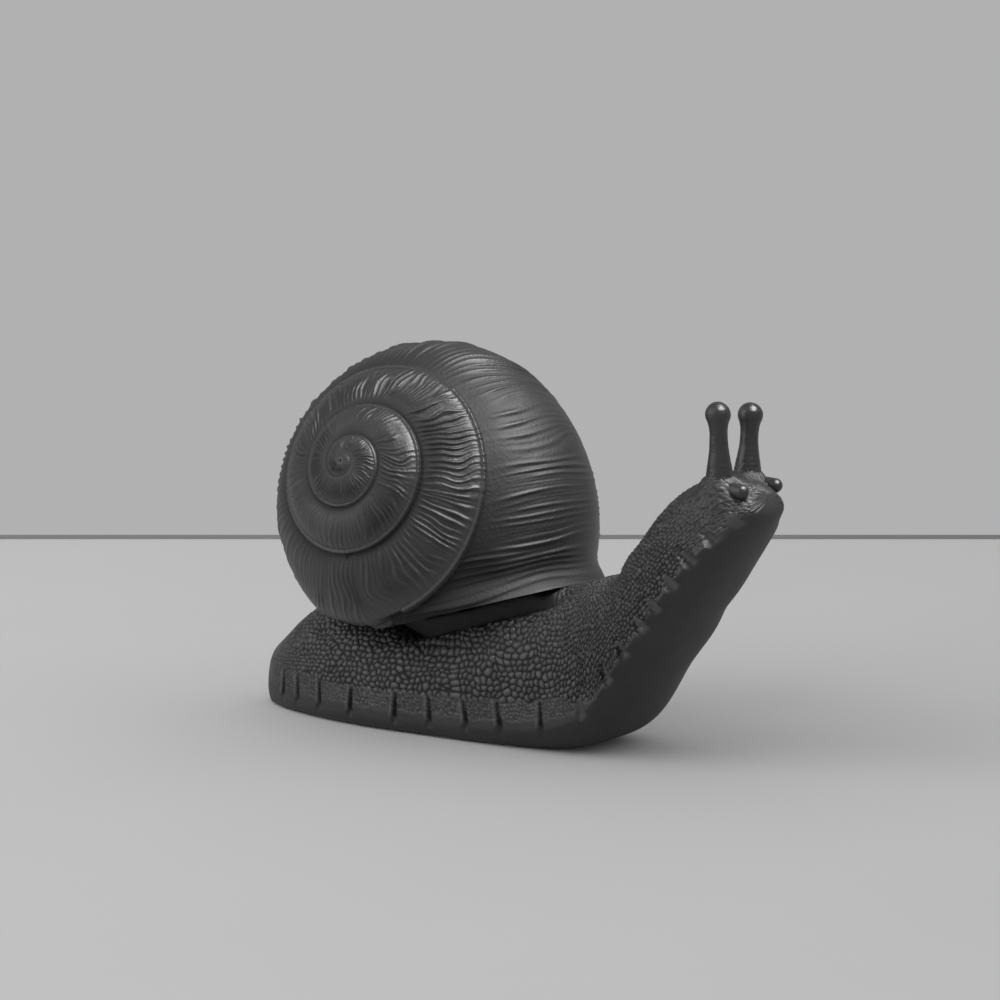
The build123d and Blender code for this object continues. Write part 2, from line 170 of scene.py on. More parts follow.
lip_flare_places = (15.0, 48.0)
# darker and duller over the flared lip: the darker tone is painted shade that calms the lip's highlight
lip_shade_and_dullness = 1.1
lip_end_tone = -0.4
underside_tone = -0.1

# Body, in the same terms as its solid
foot_rear = 69.5
foot_widest_at = 10.0
foot_half_width = 26.8
bend_start = 62.0
bend_radius = 36.0
neck_tilt = 55.0
neck_length = 83.0
neck_half_width = 24.0
neck_depth = 33.0
ridge_height = 38.5
sole_edge_lift = 4.5
shoulder_edge_gain = 2.9
shoulder_lean = 5.5
neck_edge_lift = 7.0
neck_station_shares = (0.0, 0.12, 0.235, 0.34, 0.45, 0.56, 0.68, 0.79, 0.87, 0.93, 0.968, 0.988, 1.0)
neck_lean_shares = (0.10, 0.19, 0.32, 0.47, 0.65, 0.80, 0.91, 0.95, 0.88, 0.72, 0.52, 0.34, 0.20)
neck_depth_shares = (1.57, 1.60, 1.48, 1.28, 1.05, 0.97, 0.95, 0.94, 0.86, 0.68, 0.45, 0.29, 0.17)
neck_width_shares = (1.0, 1.0, 1.0, 1.0, 1.0, 1.0, 0.98, 0.91, 0.80, 0.66, 0.52, 0.38, 0.22)
neck_lift_shares = (1.05, 1.20, 1.22, 1.18, 1.10, 1.05, 1.0, 0.92, 0.76, 0.58, 0.42, 0.30, 0.18)
sole_level = 0.5

# Relief of the body
ring_step = 0.45
end_insets = (0.8, 0.2)
ring_smoothing = 15
height_smoothing = 31
normal_smoothing = 5
sole_columns = 24
cap_rings = 12
tail_bulge = (-0.10, 0.0, 0.0)
chin_bulge = (0.9, 0.0, 0.2)
chin_rows = (14.0, 44.0)
tail_rows = (14.0, 30.0)
end_rounds = 8
end_passes = 10
tail_fade = (9.0, 20.0)
chin_fade = (1.0, 8.0)
flank_columns = 125
centre_share = 0.42
ray_length = 90.0
scale_depth = 0.72
granule_depth = 0.42
slit_depth = 0.6
slit_half_width = 0.55
slit_edge_height = 0.4
slit_edge_offset = 1.3
slit_edge_half_width = 0.6
slit_heights = ((0.3, 2.0), (7.5, 10.5))
bare_half_width = 1.7
bare_heights = ((-2.5, -1.0), (3.5, 5.5))
notch_place_shares = (0.081, 0.117, 0.165, 0.225, 0.302, 0.359, 0.419, 0.474, 0.544, 0.620,
                      0.690, 0.739, 0.790, 0.826, 0.868, 0.908, 0.944, 0.971)
row_height_places = (-69.0, -50.0, -20.0, 10.0, 60.0, 90.0, 130.0, 165.0, 180.0)
row_heights = (1.4, 1.6, 1.95, 2.2, 2.2, 1.8, 1.6, 1.3, 1.1)
scale_length_share = 1.2
far_side_shift = 40.0
scale_jitter = 0.85
granule_jitter = 0.9
granules_per_scale = (1.9, 1.75)
neck_places = (70.0, 95.0)
tail_places = (-62.0, -25.0)
face_places = (150.0, 168.0)
granule_edges = (3.2, 0.5)
scale_edges = (9.5, 1.2)
gap_places = ((-18.0, -15.0), (57.0, 62.0))
# painted shade: a darker tone on the body under the shell
gap_painted_shade = 0.3
# painted highlight: a paler tone on the bare floors of the neck notches
notch_floor_highlight = 0.3
bare_tone = 0.33
first_neck_notch_share = 0.6
softening = 0.9
socket_passes = 500
free_columns = (10.0, 18.0)
smooth_face_places = (158.0, 172.0)
snout_places = (168.0, 174.0)
face_passes = 50
corner_places = ((-24.0, -16.0), (8.0, 18.0))
corner_heights = (28.0, 30.0)
corner_passes = 40
nape_places = ((58.0, 66.0), (98.0, 108.0))
nape_heights = (44.0, 52.0)
nape_passes = 90
skirt_height = 1.5
skirt_slope = 0.75
skirt_radius = 5.4
skirt_blend = 1.0
skirt_fade = (5.0, 10.5)
skirt_depth = 9.0

# Paint: grey of ridges and of grooves, roughness, relief of the darkest grooves, and grain scale; the paler
# ridges are dry-brushed paint and the darker grooves are partly painted shade in the recesses
groove_dullness = 0.75
specular_level = 0.42
cloud_scale = 60.0
cloud_range = 0.18
gloss_range = 0.06
grain_strength = 0.5
grain_height = 0.3
paints = {
    "body_paint": ((0.058, 0.058, 0.059), (0.0025, 0.0025, 0.0027), 0.38, -0.5, 900.0),
    "stalk_paint": ((0.032, 0.032, 0.0325), (0.006, 0.006, 0.0062), 0.33, -0.5, 900.0),
    "shell_paint": ((0.050, 0.050, 0.051), (0.003, 0.003, 0.0032), 0.38, -1.5, 900.0),
    "steel": ((0.52, 0.52, 0.53), (0.40, 0.40, 0.41), 0.32, -0.5, 500.0),
    "felt": ((0.045, 0.045, 0.046), (0.03, 0.03, 0.031), 0.85, -0.5, 2600.0),
}

# Eyestalks and feelers
stalk_behind_chin = 16.1
stalk_over_chin = 9.1
stalk_y = 7.8
stalk_splay_angle = 4.0
stalk_height = 25.8
left_stalk_shortfall = 1.8
stalk_flare = 0.9
stalk_flare_height = 13.0
feeler_behind_chin = 11.1
feeler_over_chin = 7.4
feeler_y = 9.2
feeler_radius = 2.4
feeler_length = 6.8
feeler_splay_angle = 6.0
feeler_droop_angle = 4.0
root_overlap = 0.1
stalk_socket = (5.4, 8.0)
feeler_socket = (3.5, 4.5)
round_piece_reach = 15.0
granules_round_stalk = 20.0
granules_round_feeler = 12.0
stalk_columns = 110
stalk_ring_step = 0.22
stalk_tip_radius = 2.0
feeler_columns = 72
feeler_ring_step = 0.2
tip_gap = 0.004


def smooth_step(low, high, value):
    """Goes smoothly from 0 at the low place to 1 at the high one."""
    share = np.clip((value - low) / (high - low), 0.0, 1.0)
    return share * share * (3.0 - 2.0 * share)


def between(rise, fall, value):
    """Goes from 0 to 1 over the first pair of places and back to 0 over the second."""
    return smooth_step(*rise, value) * (1.0 - smooth_step(*fall, value))


def lattice(ix, iy, seed):
    """Fixed random number from 0 to 1 for each lattice point."""
    n = (ix.astype(np.int64) * 374761393 + iy.astype(np.int64) * 668265263 + seed * 974634777) & 0xFFFFFFFF
    n = ((n ^ (n >> 13)) * 1274126177) & 0xFFFFFFFF
    n = ((n ^ (n >> 16)) * 2246822519) & 0xFFFFFFFF
    return ((n ^ (n >> 15)) & 0xFFFFFF) / float(0xFFFFFF)


def noise(x, y, seed):
    """Smooth noise from -1 to 1 with one bump to each unit of x and y."""
    ix = np.floor(x)
    iy = np.floor(y)
    fx = x - ix
    fy = y - iy
    fx = fx * fx * fx * (fx * (fx * 6.0 - 15.0) + 10.0)
    fy = fy * fy * fy * (fy * (fy * 6.0 - 15.0) + 10.0)
    low = lattice(ix, iy, seed) * (1.0 - fx) + lattice(ix + 1, iy, seed) * fx
    high = lattice(ix, iy + 1, seed) * (1.0 - fx) + lattice(ix + 1, iy + 1, seed) * fx
    return 2.0 * (low * (1.0 - fy) + high * fy) - 1.0


def cells(x, y, seed, jitter):
    """Distance to the border of brick-laid cells, and a random number for each cell."""
    ix = np.floor(x)
    iy = np.floor(y)
    nearest = np.full(x.shape, 9.0)
    second = np.full(x.shape, 9.0)
    own = np.zeros(x.shape)
    for dy in (-1, 0, 1):
        row = iy + dy
        shift = 0.5 * np.mod(row, 2.0)
        for dx in (-2, -1, 0, 1, 2):
            column = ix + dx
            cx = column + 0.5 + shift + jitter * (lattice(column, row, seed) - 0.5)
            cy = row + 0.5 + jitter * 0.6 * (lattice(column, row, seed + 7) - 0.5)
            distance = np.sqrt((x - cx) ** 2 + (y - cy) ** 2)
            closer = distance < nearest
            second = np.where(closer, nearest, np.minimum(second, distance))
            own = np.where(closer, lattice(column, row, seed + 3), own)
            nearest = np.where(closer, distance, nearest)
    return second - nearest, own


def grid_normals(points):
    """Unit normals of a grid of points."""
    along = np.gradient(points, axis=0)
    across = np.gradient(points, axis=1)
    normals = np.cross(along, across)
    length = np.linalg.norm(normals, axis=2, keepdims=True)
    return normals / np.maximum(length, 1e-12)


def new_object(name, data):
    """New object of the scene that shows a mesh, a camera or a light."""
    item = bpy.data.objects.new(name, data)
    bpy.context.collection.objects.link(item)
    return item


def grid_object(name, points, relief, closed=False):
    """Mesh object from a grid of points in millimetres, with the relief kept for its material; for the shell
    and the body this is a tone that also carries painted shade and painted highlights.
    """
    rows, columns = points.shape[:2]
    index = np.arange(rows * columns).reshape(rows, columns)
    if closed:
        index = np.concatenate([index, index[:, :1]], axis=1)
    quads = np.stack([index[:-1, :-1], index[1:, :-1], index[1:, 1:], index[:-1, 1:]], axis=-1).reshape(-1, 4)
    mesh = bpy.data.meshes.new(name)
    mesh.from_pydata((points.reshape(-1, 3) * MM).tolist(), [], quads.tolist())
    attribute = mesh.attributes.new("relief", "FLOAT", "POINT")
    attribute.data.foreach_set("value", relief.reshape(-1).astype(np.float32))
    mesh.polygons.foreach_set("use_smooth", [True] * len(mesh.polygons))
    mesh.update()
    return new_object(name, mesh)


def finish_piece(piece, node, material):
    """Gives a piece its material and its place in the model."""
    piece.data.materials.clear()
    piece.data.materials.append(material)
    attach(piece, "root")
    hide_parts(node)


def shell_axes():
    """Directions of the shell's frame: where turns start, a quarter turn on, and out of the spire."""
    yaw = radians(axis_yaw)
    rise = radians(axis_rise)
    axis = np.array((cos(rise) * sin(yaw), -cos(rise) * cos(yaw), sin(rise)))
    level = np.cross((0.0, 0.0, 1.0), axis)
    level /= np.linalg.norm(level)
    phase = radians(seam_phase)
    start = level * cos(phase) + np.cross(axis, level) * sin(phase)
    return start, np.cross(axis, start), axis


def seam(turn):
    """Radius and depth behind the apex of the seam outside a turn."""
    late = turn - seam_reference_turn
    growth = sum(share * late ** power for power, share in enumerate(seam_growth_shares, 1))
    radius = seam_radius * np.exp(growth)
    return radius, seam_drop_share * radius + radius ** 2 / seam_steepening_radius


def resample(curve, places):
    """Points at distances along a polyline, and its length."""
    steps = np.linalg.norm(np.diff(curve, axis=0), axis=1)
    run = np.concatenate([[0.0], np.cumsum(steps)])
    points = np.stack([np.interp(places, run, curve[:, axis]) for axis in (0, 1)], axis=1)
    return points, run[-1]


def spire_curve(turn, count):
    """Bulge between the seams inside and outside a turn, as radius and height."""
    inner_radius, inner_depth = seam(turn - 1)
    outer_radius, outer_depth = seam(turn)
    chord = sqrt((outer_radius - inner_radius) ** 2 + (outer_depth - inner_depth) ** 2)
    late = min(max(turn - spire_turns + 1, 0.0), 1.0)
    radius = chord * (spire_bulge_shares[0] + (spire_bulge_shares[1] - spire_bulge_shares[0]) * late)
    sag = sqrt(radius ** 2 - (chord / 2) ** 2)
    run = (outer_radius - inner_radius) / chord
    fall = (outer_depth - inner_depth) / chord
    centre = ((inner_radius + outer_radius) / 2 - sag * fall, -(inner_depth + outer_depth) / 2 - sag * run)
    start = np.arctan2(-inner_depth - centre[1], inner_radius - centre[0])
    end = np.arctan2(-outer_depth - centre[1], outer_radius - centre[0])
    angles = np.linspace(start, end, count)
    return np.stack([centre[0] + radius * np.cos(angles), centre[1] + radius * np.sin(angles)], axis=1)


def whorl_curve(turn):
    """Oval of the last whorl from its inner seam round to the umbilicus."""
    inner_radius, inner_depth = seam(turn - 1)
    late = turn - whorl_reference_turn
    to_lip = min(max(turn - lip_flare_start_turn, 0.0) / lip_flare_turns, 1.0)
    flare = lip_flare_share * (1 - cos(pi * to_lip)) / 2
    across = whorl_radius * exp(whorl_growth_share * late) * (1 + flare)
    along = across * whorl_flattening_share
    start = sum(angle * late ** power for power, angle in enumerate(whorl_lean_angles))
    centre = (inner_radius - across * cos(radians(start)), -inner_depth - along * sin(radians(start)))
    angles = np.radians(np.linspace(start, whorl_turning_angle, oval_steps))
    side = np.stack([centre[0] + across * np.cos(angles), centre[1] + along * np.sin(angles)], axis=1)
    turning = radians(whorl_turning_angle)
    leaving = np.array((across * sin(turning), -along * cos(turning)))
    leaving /= np.linalg.norm(leaving)
    far = np.array((umbilicus_radius, -shell_width))
    reach = np.linalg.norm(far - side[-1])
    s = np.linspace(0.0, 1.0, back_steps)[1:, None]
    back = ((2 * s ** 3 - 3 * s ** 2 + 1) * side[-1] + (s ** 3 - 2 * s ** 2 + s) * leaving * reach
            + (-2 * s ** 3 + 3 * s ** 2) * far + (s ** 3 - s ** 2) * np.array((-1.0, 0.0)) * reach)
    pit = np.array([(radius, depth - shell_width) for radius, depth in umbilicus_profile])
    return np.concatenate([side, back, pit])


def place(turns, radius, height):
    """Points of the shell from turn, radius and height over the apex."""
    start, quarter, axis = shell_axes()
    angle = -2 * pi * turns
    return (apex + (radius * np.cos(angle))[..., None] * start + (radius * np.sin(angle))[..., None] * quarter
            + height[..., None] * axis)


def seat_clearance(points):
    """Distance over the two planes of the shell's seat."""
    level = points[..., 2] - seat_height
    slope = radians(seat_rise)
    rising = level * cos(slope) - (points[..., 0] - seat_break_x) * sin(slope)
    return np.minimum(level, rising), rising


def line_count(turn):
    """How many growth lines lie between the start of the turns and this one."""
    return lines_per_turn * turn + lines_growth * turn ** 2


def line_relief(turns, share, rising, lip):
    """Growth lines from about -1 to 0, running across the whorl and along the lip near it."""
    by_height = line_count(lip_line_turn) - (rising - lip_line_height) / lip_line_spacing
    phase = line_count(turns) * (1.0 - lip) + by_height * lip
    phase = (phase + line_wander[0] * noise(phase * 0.14, share * 2.0, 11)
             + line_wander[1] * noise(phase * 0.45, share * 3.2, 12))
    broad = noise(phase * 0.32, share * 1.6, 21)
    crest = (0.5 + 0.5 * np.cos(2 * pi * phase)) ** crest_sharpness
    weight = np.clip(0.6 + 0.8 * noise(phase * 0.9, share * 2.4, 22), 0.05, 1.15)
    lesser = 0.5 + 0.5 * np.cos(2 * pi * (phase * 2.0 + 0.4 * noise(phase, share * 3.0, 24)))
    fine = noise(phase * 3.6, share * 9.0, 23)
    layers = (broad, crest * weight, lesser, fine)
    return sum(amount * layer for amount, layer in zip(line_mix, layers)) - line_level


def line_strength(turns, share, rising, lip):
    """How deep the growth lines are, from nearly 0 in smooth places to about 1."""
    ahead = smooth_step(*ahead_turns, turns)
    far_side = smooth_step(0.65 - 0.2 * ahead, 1.0 - 0.25 * ahead, share)
    strength = smooth_step(*line_start_shares, share) * (1.0 - far_side_fade * far_side)
    near_side = 1.0 - far_side_fade * smooth_step(*lip_fade_shares, share)
    near_lip = lip * near_side * (1.0 - smooth_step(*lip_line_heights, rising))
    strength = np.maximum(strength, lip_line_strength * near_lip)
    patches = np.clip(0.9 + 0.3 * noise(turns * 7.0, share * 2.2, 31), 0.4, 1.15)
    smooth = np.exp(-((np.mod(turns, 1.0) - smooth_place) / smooth_place_width) ** 2)
    patches *= 1.0 - 0.6 * smooth * smooth_step(1.6, 2.3, turns)
    return least_line_strength + (1.0 - least_line_strength) * strength * patches


def shell_relief(turns, share, points, radius, edge_share):
    """Relief in millimetres over a stretch of whorl; edge_share is 1 at its outer seam."""
    clearance, rising = seat_clearance(points)
    lip = smooth_step(*lip_turns, turns)
    early = 1.0 - smooth_step(*early_turns, turns)
    depth = np.minimum((line_depth_share + line_depth_gain * early) * radius, line_depth_most)
    relief = depth * line_strength(turns, share, rising, lip) * line_relief(turns, share, rising, lip)
    suture = np.minimum(suture_depth_share * radius, suture_depth_most)
    inner = smooth_step(0.0, 0.012, share)
    relief -= suture * inner * (1.0 - smooth_step(0.0, suture_width_share, share)) ** 1.4
    relief += rim_height_share * radius * smooth_step(0.96, 0.985, edge_share)
    # the tone follows the relief, so the suture and the line grooves are painted darker, partly as painted
    # shade
    tone = relief / np.maximum(depth, 0.1)
    late = smooth_step(1.0, join_turn, turns)
    swell = bulge_shares[0] * (1.0 - late) + bulge_shares[1] * late
    swell *= 1.0 - smooth_step(join_turn - 0.1, join_turn + 0.3, turns)
    swell *= inner * (1.0 - smooth_step(0.985, 1.0, edge_share))
    relief = relief + swell * radius * (np.sin(pi * np.clip(share, 0.0, 1.0)) - 1.0)
    return relief, clearance, tone


def rounded_off(clearance):
    """How far the surface draws in as it nears the seat."""
    near = np.clip(clearance, 0.0, lip_round)
    return lip_round - np.sqrt(np.maximum(lip_round ** 2 - (lip_round - near) ** 2, 0.0))


def flared(points, clearance):
    """How far the lip turns outwards over the front of the seat."""
    front = smooth_step(*lip_flare_places, points[..., 0])
    return lip_flare * front * (1.0 - smooth_step(0.0, lip_flare_height, clearance)) ** 2


def outward_normals(points):
    """Normals of a grid of the shell, turned to face out."""
    normals = grid_normals(points)
    middle = apex - shell_axes()[2] * shell_middle_depth
    outside = np.mean(np.sum(normals * (points - middle), axis=2)) > 0
    return normals if outside else -normals


def outward(points, relief):
    """Points moved along their outward normals."""
    return points + outward_normals(points) * relief[..., None]


def spire_grid(low, high, turn_steps, share_steps):
    """Surface between the seams from one turn to another, with a short wall along the outer seam."""
    turns = np.linspace(low, high, turn_steps)
    shares = np.linspace(0.0, 1.0, share_steps)
    radius, height = np.stack([spire_curve(turn, share_steps).T for turn in turns], axis=1)
    turn_grid, share_grid = np.meshgrid(turns, shares, indexing="ij")
    points = place(turn_grid, radius, height)
    relief, clearance, tone = shell_relief(turn_grid, share_grid, points, radius, share_grid)
    points = outward(points, relief - rounded_off(clearance))
    edge_out = points[:, -1] - outward_normals(points)[:, -1] * suture_depth_share * radius[:, -1:]
    shares = np.array(seam_wall_places)[None, :, None]
    wall = points[:, -1:] * (1.0 - shares) + edge_out[:, None] * shares
    # the wall along the seam is painted darker, as painted shade in the crease
    tones = np.concatenate([tone, np.repeat(tone[:, -1:], wall.shape[1], axis=1) + seam_wall_painted_shade], axis=1)
    return np.concatenate([points, wall], axis=1), tones


def whorl_grid(low, high, turn_steps, share_steps):
    """Last whorl from its seam round to the umbilicus, led over from the spire's form where it starts."""
    turns = np.linspace(low, high, turn_steps)
    radius = np.empty((turn_steps, share_steps))
    height = np.empty((turn_steps, share_steps))
    share_grid = np.empty((turn_steps, share_steps))
    _, first_width = resample(spire_curve(join_turn, arc_steps), np.zeros(1))
    for number, turn in enumerate(turns):
        curve = whorl_curve(turn)
        blend = min(max((turn - join_turn) / join_blend_turns, 0.0), 1.0)
        places = np.linspace(0.0, 1.0, share_steps) ** column_spacing
        _, length = resample(curve, places)
        run = places * length
        spaced, _ = resample(curve, run)
        if blend < 1.0:
            arc_points, reach = resample(spire_curve(turn, arc_steps), run)
            inside = run <= reach
            offset = np.where(inside[:, None], arc_points - spaced, 0.0)
            last = offset[inside][-1]
            tail = np.exp(-np.maximum(run - reach, 0.0) / join_blend_run)[:, None]
            offset = np.where(inside[:, None], offset, last * tail)
            spaced = spaced + (1.0 - blend) * offset
        radius[number] = spaced[:, 0]
        height[number] = spaced[:, 1]
        led_over = smooth_step(join_turn, led_over_turn, turn)
        share_grid[number] = run / (first_width + (line_run - first_width) * led_over)
    turn_grid = np.repeat(turns[:, None], share_steps, axis=1)
    points = place(turn_grid, radius, height)
    no_edge = np.zeros_like(share_grid)
    relief, clearance, tone = shell_relief(turn_grid, share_grid, points, radius, no_edge)
    starting = 1.0 - smooth_step(join_turn, join_turn + end_turns[0], turn_grid)
    ending = smooth_step(last_turn - end_turns[1], last_turn, turn_grid)
    relief -= end_drop * (smooth_step(1.0, 1.1, share_grid) * starting + ending)
    flare = flared(points, clearance)
    # the flared lip gets a lower tone: painted shade, with duller roughness, against the key light's
    # highlight
    return outward(points, relief - rounded_off(clearance) + flare), tone - lip_shade_and_dullness * flare / lip_flare


def cut_at_seat(piece):
    """Takes away what lies under the seat."""
    slope = radians(seat_rise)
    work = bmesh.new()
    work.from_mesh(piece.data)
    corner = Vector((seat_break_x * MM, 0.0, seat_height * MM))
    for normal in (Vector((0.0, 0.0, 1.0)), Vector((-sin(slope), 0.0, cos(slope)))):
        everything = work.verts[:] + work.edges[:] + work.faces[:]
        bmesh.ops.bisect_plane(work, geom=everything, dist=1e-7, plane_co=corner, plane_no=normal,
                               clear_inner=True)
    bmesh.ops.recalc_face_normals(work, faces=work.faces[:])
    work.to_mesh(piece.data)
    work.free()


def seat_level(x):
    """Height of the shell's seat over a place along the body."""
    return seat_height + np.maximum(x - seat_break_x, 0.0) * tan(radians(seat_rise))


def search_tree(mesh):
    """Search tree of a mesh, in millimetres."""
    vertices = [vertex.co / MM for vertex in mesh.vertices]
    return BVHTree.FromPolygons(vertices, [polygon.vertices[:] for polygon in mesh.polygons])


def underside(pieces):
    """Flat underside of the shell, out to where its walls meet the seat."""
    trees = [search_tree(piece.data) for piece in pieces]
    middle = Vector((underside_middle_x, 0.0, seat_height + underside_lift))
    angles = np.linspace(0.0, 2 * pi, underside_columns, endpoint=False)
    outline = []
    for angle in angles:
        x = underside_middle_x + underside_reach * cos(angle)
        start = Vector((x, underside_reach * sin(angle), float(seat_level(x)) + underside_lift))
        outline.append(max(march(tree, start, middle) for tree in trees))
    rings = np.linspace(0.0, 1.0, underside_rings)
    radius = rings[:, None] * np.array(outline)[None, :]
    x = underside_middle_x + radius * np.cos(angles)[None, :]
    y = radius * np.sin(angles)[None, :]
    points = np.stack([x, y, seat_level(x)], axis=2)
    ripple = underside_ripple * (1.0 + noise(x * 0.8, y * 0.8, 91))
    points[..., 2] += ripple * (rings[:, None] < 0.98)
    return grid_object("shell_underside", points, np.full(radius.shape, underside_tone), closed=True)


def march(tree, start, middle):
    """Distance from the middle of the seat to the outermost wall on the way in from a start."""
    stops = [start, middle]
    if start.x > seat_break_x:
        share = (start.x - seat_break_x) / (start.x - middle.x)
        stops.insert(1, Vector((seat_break_x, start.y * (1 - share), middle.z)))
    best = 0.0
    for near, far in zip(stops, stops[1:]):
        ray = far - near
        hit, _, _, _ = tree.ray_cast(near, ray.normalized(), ray.length)
        if hit is not None:
            best = max(best, (hit - middle).xy.length)
    return best


def map_range(tree, source, low, high, from_low=0.0, from_high=1.0):
    """Output of a node that maps a value from one range to another."""
    node = tree.nodes.new("ShaderNodeMapRange")
    for name, value in (("From Min", from_low), ("From Max", from_high), ("To Min", low), ("To Max", high)):
        node.inputs[name].default_value = value
    tree.links.new(source, node.inputs["Value"])
    return node.outputs["Result"]


def cloudiness(tree, scale, detail):
    """Output of a noise node laid out in the object's own coordinates."""
    cloud = tree.nodes.new("ShaderNodeTexNoise")
    cloud.inputs["Scale"].default_value = scale
    cloud.inputs["Detail"].default_value = detail
    tree.links.new(tree.nodes.new("ShaderNodeTexCoord").outputs["Object"], cloud.inputs["Vector"])
    return cloud.outputs["Fac"]


def grey_material(name):
    """Satin dark finish, paler on what stands proud and darker and duller in what lies deep: dry-brushed
    paint on the ridges, and painted shade in the grooves and recesses.
    """
    ridge, groove, roughness, low, grain = paints[name]
    material = bpy.data.materials.new(name)
    material.use_nodes = True
    tree = material.node_tree
    nodes = tree.nodes
    links = tree.links
    shader = nodes["Principled BSDF"]
    attribute = nodes.new("ShaderNodeAttribute")
    attribute.attribute_name = "relief"
    spread = map_range(tree, attribute.outputs["Fac"], 0.0, 1.0, low, 0.0)
    cloud = cloudiness(tree, cloud_scale, 5.0)
    mix = nodes.new("ShaderNodeMix")
    mix.data_type = "RGBA"
    mix.inputs["A"].default_value = (*groove, 1.0)
    mix.inputs["B"].default_value = (*ridge, 1.0)
    links.new(spread, mix.inputs["Factor"])
    shade = nodes.new("ShaderNodeMix")
    shade.data_type = "RGBA"
    shade.blend_type = "MULTIPLY"
    shade.inputs["Factor"].default_value = 1.0
    links.new(mix.outputs["Result"], shade.inputs["A"])
    links.new(map_range(tree, cloud, 1.0 - cloud_range, 1.0 + cloud_range), shade.inputs["B"])
    links.new(shade.outputs["Result"], shader.inputs["Base Color"])
    rough = nodes.new("ShaderNodeMath")
    rough.operation = "MULTIPLY"
    links.new(map_range(tree, cloud, roughness - gloss_range, roughness + gloss_range), rough.inputs[0])
    links.new(map_range(tree, spread, 1.0 + groove_dullness, 1.0), rough.inputs[1])
    links.new(rough.outputs["Value"], shader.inputs["Roughness"])
    bump = nodes.new("ShaderNodeBump")
    bump.inputs["Strength"].default_value = grain_strength
    bump.inputs["Distance"].default_value = grain_height * MM
    links.new(cloudiness(tree, grain, 3.0), bump.inputs["Height"])
    links.new(bump.outputs["Normal"], shader.inputs["Normal"])
    shader.inputs["Specular IOR Level"].default_value = specular_level
    return material


def stage_material(name, grey):
    """Matt grey with a faint unevenness."""
    material = bpy.data.materials.new(name)
    material.use_nodes = True
    tree = material.node_tree
    shader = tree.nodes["Principled BSDF"]
    cloud = cloudiness(tree, stage_cloud_scale, 2.0)
    tone = map_range(tree, cloud, grey * (1.0 - stage_cloud_range), grey * (1.0 + stage_cloud_range))
    tree.links.new(tone, shader.inputs["Base Color"])
    shader.inputs["Roughness"].default_value = stage_roughness
    shader.inputs["Specular IOR Level"].default_value = 0.0
    return material


def build_shell(material):
    """The shell: spire whorls, last whorl in two stretches, its end wall, and the underside."""
    pieces = []
    grids = {}
    rear_start = join_turn - join_overlap
    for name, grid, low, high, steps in (
        ("shell_spire", spire_grid, first_turn, spire_end_turn, spire_steps),
        ("shell_second_whorl", spire_grid, spire_end_turn, join_turn, second_whorl_steps),
        ("shell_last_whorl_rear", whorl_grid, rear_start, rear_end_turn, rear_steps),
        ("shell_last_whorl_front", whorl_grid, rear_end_turn, last_turn, front_steps),
    ):
        grids[name], tone = grid(low, high, *steps)
        pieces.append(grid_object(name, grids[name], tone))
    # The end of the last whorl comes down on the whorl one turn before it
    under_share = (last_turn - 1.0 - rear_start) / (rear_end_turn - rear_start)
    under = grids["shell_last_whorl_rear"][int(round(under_share * (rear_steps[0] - 1)))]
    shares = np.linspace(0.0, 1.0, lip_end_rows)[:, None, None]
    wall = under * (1.0 - shares) + grids["shell_last_whorl_front"][-1] * shares
    pieces.append(grid_object("shell_lip_end", wall, np.full(wall.shape[:2], lip_end_tone)))
    for piece in pieces:
        cut_at_seat(piece)
    pieces.append(underside(pieces))
    for piece in pieces:
        finish_piece(piece, "shell_casting", material)


def sole_path(distance):
    """Point on the middle of the sole at a distance forward of the origin."""
    bend_length = bend_radius * radians(neck_tilt)
    turned = min(max(distance - bend_start, 0.0), bend_length) / bend_radius
    past = max(distance - bend_start - bend_length, 0.0)
    flat = min(distance, bend_start)
    x = flat + bend_radius * sin(turned) + past * cos(turned)
    return x, bend_radius * (1.0 - cos(turned)) + past * sin(turned)


def body_section(distance):
    """Half width, edge height, depth and lean of the body at a distance along the sole."""
    if distance < bend_start:
        behind = max(-foot_widest_at - distance, 0.0) / (foot_rear - foot_widest_at)
        forward = min(max(distance, 0.0) / bend_start, 1.0)
        width = foot_half_width + (neck_half_width - foot_half_width) * forward
        lift = sole_edge_lift + shoulder_edge_gain * forward ** 2
        return width * sqrt(max(1.0 - behind ** 2, 0.01)), lift, ridge_height, shoulder_lean * forward
    station = (distance - bend_start) / (body_end() - bend_start)
    values = [np.interp(station, neck_station_shares, shares)
              for shares in (neck_width_shares, neck_lift_shares, neck_depth_shares, neck_lean_shares)]
    return (neck_half_width * values[0], neck_edge_lift * values[1], neck_depth * values[2],
            neck_tilt * values[3])


def smoothed(table, width):
    """Table with each column smoothed by a bell of that many rows."""
    kernel = np.hanning(width + 2)[1:-1]
    kernel /= kernel.sum()
    half = width // 2
    padded = np.pad(table, ((half, half), (0, 0)), mode="reflect", reflect_type="odd")
    return np.stack([np.convolve(column, kernel, mode="valid") for column in padded.T], axis=1)


def body_end():
    """Distance along the sole from the origin to the chin."""
    return bend_start + bend_radius * radians(neck_tilt) + neck_length


def body_rings():
    """Foot point, half width, edge height, depth and lean of each ring of the body."""
    distances = np.arange(end_insets[0] - foot_rear, body_end() - end_insets[1], ring_step)
    table = np.array([sole_path(distance) + body_section(distance) for distance in distances])
    return distances, smoothed(table, ring_smoothing)


